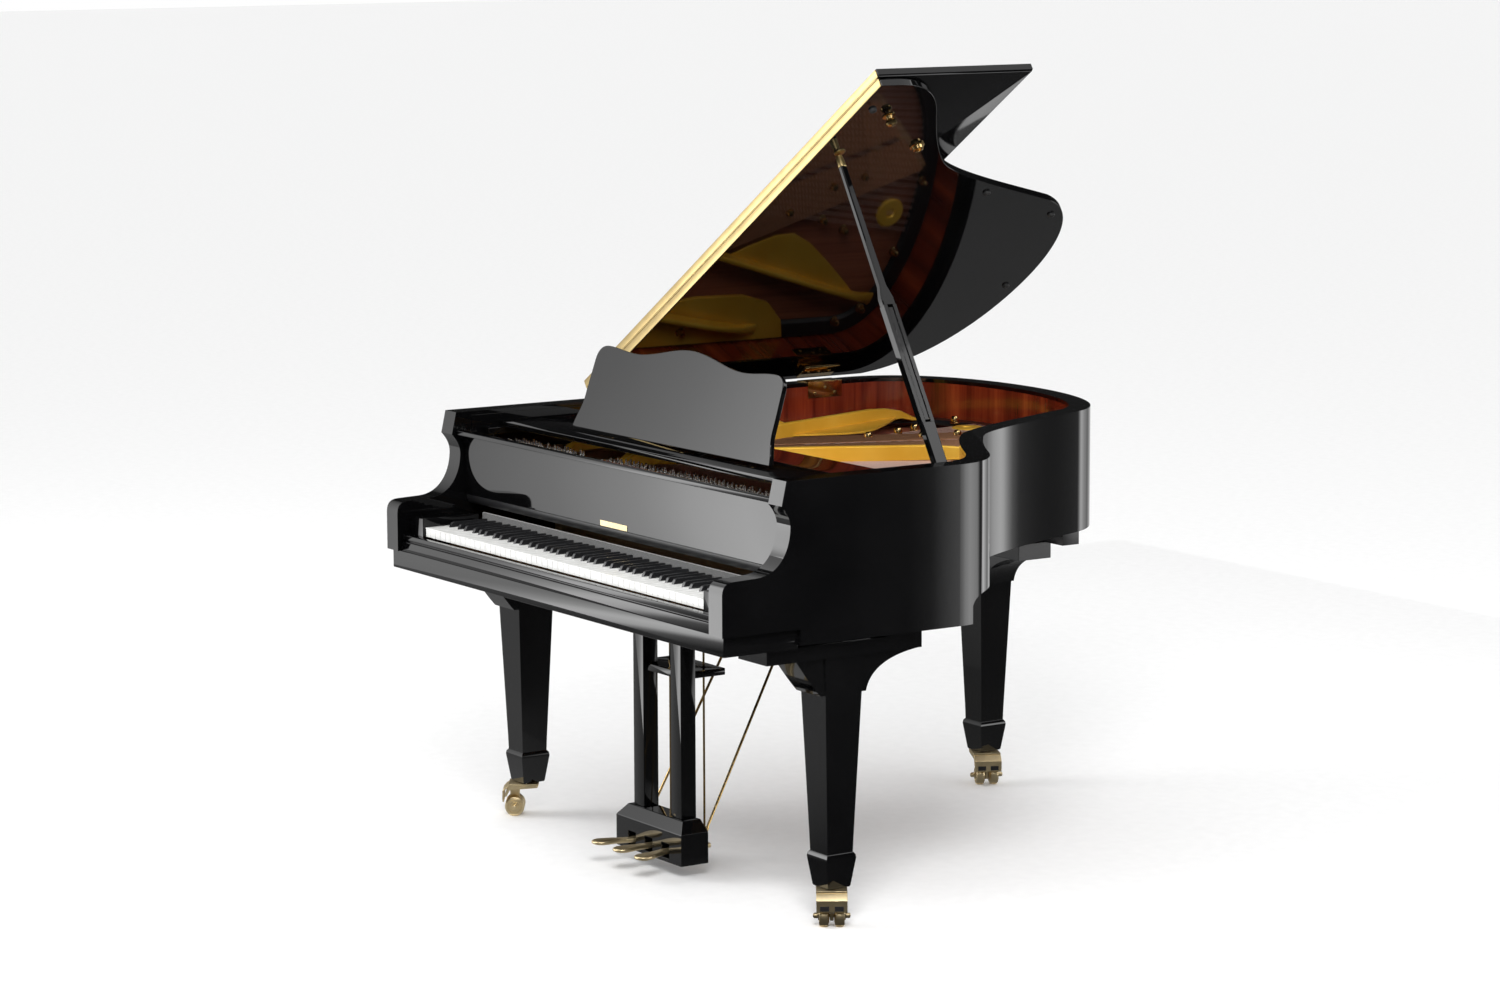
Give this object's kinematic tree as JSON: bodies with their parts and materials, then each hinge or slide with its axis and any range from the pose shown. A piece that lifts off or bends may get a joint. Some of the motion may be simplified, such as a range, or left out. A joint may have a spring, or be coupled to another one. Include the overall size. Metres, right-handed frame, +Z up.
{
  "type": "baby grand piano",
  "caption": "Black baby grand piano with its lid propped open, music desk up, square tapered legs on casters and a pedal lyre.",
  "frame": {"origin": "centre of the base of the whole open piano's bounding box, on the floor", "axes": "+Z up; +Y from the keyboard to the tail; +X to the treble side, the player's right"},
  "size_m": [1.4998, 1.612, 1.8504],
  "materials": {
    "black_polish": "high-gloss black polyester lacquer on wood",
    "mahogany": "gloss-varnished red-brown mahogany veneer",
    "soundboard_spruce": "satin-varnished spruce",
    "plain_wood": "plain varnished beech and spruce",
    "gold_iron": "gold-bronzed cast iron",
    "brass": "polished, lightly lacquered brass",
    "string_steel": "drawn steel and copper-wound wire",
    "damper_wood": "black-stained damper heads with grey-white felt",
    "white_key": "white key covers on spruce sticks",
    "black_key": "satin black sharps"
  },
  "bodies": {
    "case": {"outer_rim": "black_polish", "inner_rim": "mahogany", "arm_left": "black_polish", "arm_right": "black_polish", "keybed": "black_polish", "key_slip": "black_polish", "key_block_left": "black_polish", "key_block_right": "black_polish", "front_rail": "black_polish", "back_posts": "plain_wood", "leg_front_left": "black_polish", "leg_front_right": "black_polish", "leg_rear": "black_polish", "lyre_top": "black_polish", "lyre_pillar_left": "black_polish", "lyre_pillar_right": "black_polish", "pedal_box": "black_polish", "rod_guide": "black_polish", "lyre_brace_left": "brass", "lyre_brace_right": "brass", "soundboard": "soundboard_spruce", "bridge": "plain_wood", "pin_block": "plain_wood", "plate": "gold_iron", "strings": "string_steel", "rim_hinge_front": "brass", "rim_hinge_rear": "brass", "prop_bracket": "brass"},
    "lid": {"lid_main": "black_polish", "hinge_leaf_lid": "brass", "lid_hinge_front": "brass", "lid_hinge_rear": "brass", "prop_cup": "brass"},
    "flap": {"lid_flap": "black_polish", "hinge_leaf_flap": "brass"},
    "long_prop": {"lid_prop": "black_polish"},
    "short_prop": {"short_prop": "black_polish"},
    "fallboard": {"fallboard": "black_polish"},
    "music_shelf": {"music_shelf": "black_polish"},
    "music_desk": {"music_desk": "black_polish"},
    "desk_strut": {"desk_strut": "black_polish"},
    "dampers": {"dampers": "damper_wood"},
    "key_frame": {"key_frame": "plain_wood", "action": "plain_wood"},
    "white_bass": {"white_keys_bass": "white_key"},
    "white_treble": {"white_keys_treble": "white_key"},
    "black_bass": {"black_keys_bass": "black_key"},
    "black_treble": {"black_keys_treble": "black_key"},
    "pedal_left": {"pedal_left": "brass"},
    "rod_left": {"pedal_rod_left": "brass"},
    "pedal_middle": {"pedal_middle": "brass"},
    "rod_middle": {"pedal_rod_middle": "brass"},
    "pedal_right": {"pedal_right": "brass"},
    "rod_right": {"pedal_rod_right": "brass"},
    "caster_front_left": {"caster_fork_front_left": "brass"},
    "wheels_front_left": {"caster_wheels_front_left": "brass"},
    "caster_front_right": {"caster_fork_front_right": "brass"},
    "wheels_front_right": {"caster_wheels_front_right": "brass"},
    "caster_rear": {"caster_fork_rear": "brass"},
    "wheels_rear": {"caster_wheels_rear": "brass"}
  },
  "joints": [
    {"name": "lid_hinge", "type": "hinge", "parent": "case", "child": "lid", "pos_m": [-0.72313, 0, 1.003], "axis": [0, -1, 0], "range_deg": [0, 8]},
    {"name": "flap_hinge", "type": "hinge", "parent": "lid", "child": "flap", "pos_m": [-0.11754, -0.2341, 1.42549], "axis": [0.8387, 0, 0.5446], "range_deg": [0, 180]},
    {"name": "prop_fold", "type": "hinge", "parent": "case", "child": "long_prop", "pos_m": [0.66987, -0.176, 0.975], "axis": [-0.5417, -0.7766, -0.3216], "range_deg": [0, 64]},
    {"name": "short_prop_fold", "type": "hinge", "parent": "long_prop", "child": "short_prop", "pos_m": [0.61043, -0.176, 1.08392], "axis": [0, 1, 0], "range_deg": [0, 85]},
    {"name": "fallboard_hinge", "type": "hinge", "parent": "case", "child": "fallboard", "pos_m": [0.01486, -0.611, 0.775], "axis": [1, 0, 0], "range_deg": [0, 90]},
    {"name": "shelf_slide", "type": "slide", "parent": "case", "child": "music_shelf", "axis": [0, -1, 0], "range_m": [0, 0.04]},
    {"name": "desk_fold", "type": "hinge", "parent": "music_shelf", "child": "music_desk", "pos_m": [0.01486, -0.469, 0.985], "axis": [-1, 0, 0], "range_deg": [0, 69]},
    {"name": "strut_fold", "type": "hinge", "parent": "music_desk", "child": "desk_strut", "pos_m": [0.01486, -0.42359, 1.08591], "axis": [1, 0, 0], "range_deg": [0, 131]},
    {"name": "pedal_left_press", "type": "hinge", "parent": "case", "child": "pedal_left", "pos_m": [-0.05713, -0.476, 0.055], "axis": [1, 0, 0], "range_deg": [0, 5], "stiffness_Nm_per_rad": 30, "springref_deg": -4.58},
    {"name": "rod_left_lift", "type": "slide", "parent": "case", "child": "rod_left", "axis": [0, 0, 1], "range_m": [0, 0.005]},
    {"name": "pedal_middle_press", "type": "hinge", "parent": "case", "child": "pedal_middle", "pos_m": [0.01486, -0.476, 0.055], "axis": [1, 0, 0], "range_deg": [0, 5], "stiffness_Nm_per_rad": 30, "springref_deg": -4.58},
    {"name": "rod_middle_lift", "type": "slide", "parent": "case", "child": "rod_middle", "axis": [0, 0, 1], "range_m": [0, 0.005]},
    {"name": "pedal_right_press", "type": "hinge", "parent": "case", "child": "pedal_right", "pos_m": [0.08686, -0.476, 0.055], "axis": [1, 0, 0], "range_deg": [0, 5], "stiffness_Nm_per_rad": 30, "springref_deg": -4.58},
    {"name": "rod_right_lift", "type": "slide", "parent": "case", "child": "rod_right", "axis": [0, 0, 1], "range_m": [0, 0.005]},
    {"name": "damper_lift", "type": "slide", "parent": "case", "child": "dampers", "axis": [0, 0, 1], "range_m": [0, 0.006]},
    {"name": "key_shift", "type": "slide", "parent": "case", "child": "key_frame", "axis": [1, 0, 0], "range_m": [0, 0.003]},
    {"name": "white_bass_press", "type": "hinge", "parent": "key_frame", "child": "white_bass", "pos_m": [0.01486, -0.556, 0.7177], "axis": [1, 0, 0], "range_deg": [0, 2.5], "stiffness_Nm_per_rad": 60, "springref_deg": -3.44},
    {"name": "white_treble_press", "type": "hinge", "parent": "key_frame", "child": "white_treble", "pos_m": [0.01486, -0.556, 0.7177], "axis": [1, 0, 0], "range_deg": [0, 2.5], "stiffness_Nm_per_rad": 60, "springref_deg": -3.44},
    {"name": "black_bass_press", "type": "hinge", "parent": "key_frame", "child": "black_bass", "pos_m": [0.01486, -0.556, 0.7177], "axis": [1, 0, 0], "range_deg": [0, 2.5], "stiffness_Nm_per_rad": 12, "springref_deg": -3.44},
    {"name": "black_treble_press", "type": "hinge", "parent": "key_frame", "child": "black_treble", "pos_m": [0.01486, -0.556, 0.7177], "axis": [1, 0, 0], "range_deg": [0, 2.5], "stiffness_Nm_per_rad": 12, "springref_deg": -3.44},
    {"name": "swivel_front_left", "type": "hinge", "parent": "case", "child": "caster_front_left", "pos_m": [-0.63914, -0.471, 0.08], "axis": [0, 0, 1], "continuous": true},
    {"name": "roll_front_left", "type": "hinge", "parent": "caster_front_left", "child": "wheels_front_left", "pos_m": [-0.65681, -0.49767, 0.024], "axis": [0.8336, -0.5524, 0], "continuous": true},
    {"name": "swivel_front_right", "type": "hinge", "parent": "case", "child": "caster_front_right", "pos_m": [0.66887, -0.471, 0.08], "axis": [0, 0, 1], "continuous": true},
    {"name": "roll_front_right", "type": "hinge", "parent": "caster_front_right", "child": "wheels_front_right", "pos_m": [0.69554, -0.48868, 0.024], "axis": [0.5524, 0.8336, 0], "continuous": true},
    {"name": "swivel_rear", "type": "hinge", "parent": "case", "child": "caster_rear", "pos_m": [-0.31013, 0.672, 0.08], "axis": [0, 0, 1], "continuous": true},
    {"name": "roll_rear", "type": "hinge", "parent": "caster_rear", "child": "wheels_rear", "pos_m": [-0.28139, 0.65795, 0.024], "axis": [0.4392, 0.8984, 0], "continuous": true}
  ],
  "couplings": [
    {"joint": "strut_fold", "follows": "desk_fold", "ratio": 1.88},
    {"joint": "rod_left_lift", "follows": "pedal_left_press", "m_per_rad": 0.05},
    {"joint": "rod_middle_lift", "follows": "pedal_middle_press", "m_per_rad": 0.05},
    {"joint": "rod_right_lift", "follows": "pedal_right_press", "m_per_rad": 0.05},
    {"joint": "damper_lift", "follows": "pedal_right_press", "m_per_rad": 0.06},
    {"joint": "key_shift", "follows": "pedal_left_press", "m_per_rad": 0.03}
  ]
}
